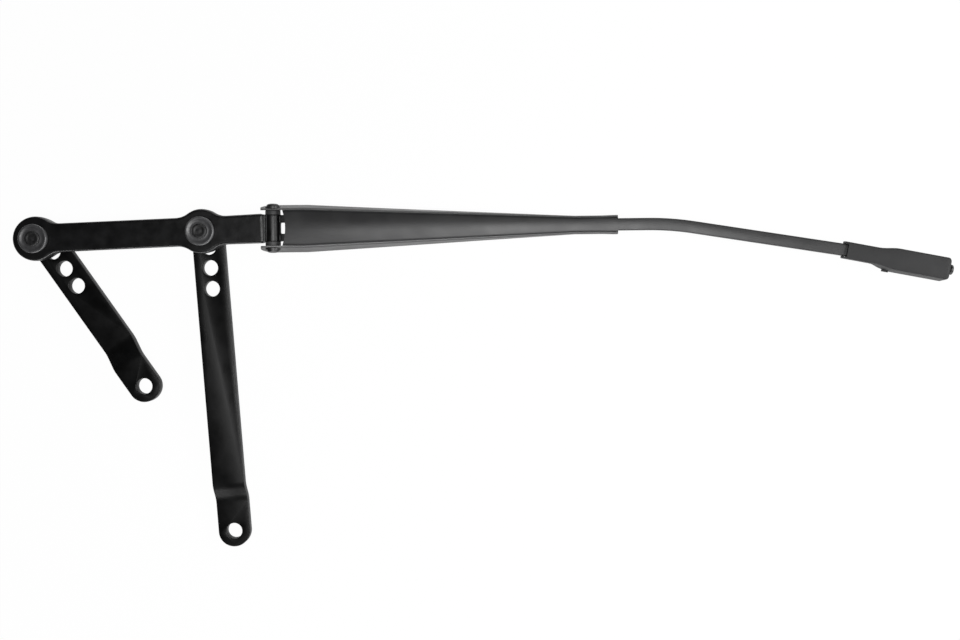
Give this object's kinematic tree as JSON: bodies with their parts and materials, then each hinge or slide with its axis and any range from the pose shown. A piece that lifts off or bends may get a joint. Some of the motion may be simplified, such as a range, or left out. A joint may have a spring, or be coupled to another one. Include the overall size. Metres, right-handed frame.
{
  "type": "pantograph windscreen wiper arm",
  "caption": "Pantograph wiper arm: two flat cranks pivot under a cast link head, and a sprung channel arm with a flat rod folds up from it to a hooded tip.",
  "frame": {"origin": "centre of the long crank's mounting bore, on the crank's lower face", "axes": "+Z along the mounting bore, away from the glass and towards the picture's viewer; +X towards the blade end, the longest way; +Y towards the link head"},
  "size_m": [0.7378, 0.2736, 0.0291],
  "materials": {
    "crank_black": "satin black coating on bent flat steel",
    "head_black": "satin black coating on a casting",
    "pin_black": "dull black coating, riveted end",
    "washer_grey": "dull dark grey",
    "bush_plastic": "dark bearing plastic",
    "arm_black": "matt black powder coat",
    "zinc_steel": "zinc plated",
    "anchor_steel": "plain steel, phosphated",
    "cover_plastic": "matt black moulded plastic",
    "button_plastic": "black moulded plastic"
  },
  "bodies": {
    "long_crank_body": {"long_crank": "crank_black", "long_pivot_pin": "pin_black", "long_pivot_washer": "washer_grey"},
    "link_body": {"link_head": "head_black", "long_upper_bush": "bush_plastic", "long_lower_bush": "bush_plastic", "short_upper_bush": "bush_plastic", "short_lower_bush": "bush_plastic", "hinge_upper_bush": "bush_plastic", "hinge_lower_bush": "bush_plastic", "spring_pin": "zinc_steel"},
    "short_crank_body": {"short_crank": "crank_black", "short_pivot_pin": "pin_black", "short_pivot_washer": "washer_grey"},
    "arm_body": {"arm_channel": "arm_black", "hinge_rivet": "pin_black", "arm_rod": "arm_black", "spring_anchor": "anchor_steel", "anchor_pin": "zinc_steel", "anchor_rivet": "zinc_steel", "tip_cover": "cover_plastic", "tip_connector": "anchor_steel", "tip_rivet": "zinc_steel", "blade_pin": "zinc_steel", "button_spring": "zinc_steel"},
    "spring_body": {"upper_spring": "zinc_steel", "lower_spring": "zinc_steel"},
    "button_body": {"release_button": "button_plastic"}
  },
  "joints": [
    {"name": "long_pivot", "type": "hinge", "parent": "long_crank_body", "child": "link_body", "pos_m": [-0.02008, 0.23916, 0.025], "axis": [0, 0, 1], "range_deg": [-40, 5]},
    {"name": "short_pivot", "type": "hinge", "parent": "link_body", "child": "short_crank_body", "pos_m": [-0.14995, 0.23326, 0.025], "axis": [0, 0, 1], "range_deg": [-85, 5]},
    {"name": "arm_fold", "type": "hinge", "parent": "link_body", "child": "arm_body", "pos_m": [0.03436, 0.24163, 0.0175], "axis": [0.0113, -0.9999, 0], "range_deg": [0, 80], "stiffness_Nm_per_rad": 2, "springref_deg": -28.65},
    {"name": "spring_swing", "type": "hinge", "parent": "link_body", "child": "spring_body", "pos_m": [0.04786, 0.24178, 0.0155], "axis": [0.0113, -0.9999, 0], "range_deg": [0, 84.4], "deforming": ["upper_spring", "lower_spring"]},
    {"name": "release_push", "type": "slide", "parent": "arm_body", "child": "button_body", "axis": [-0.9834, 0.1814, 0], "range_m": [0, 0.0013], "stiffness_N_per_m": 600, "springref_m": -0.001, "deforming": ["button_spring"]}
  ],
  "couplings": [
    {"joint": "spring_swing", "follows": "arm_fold", "ratio": 1.0535}
  ]
}
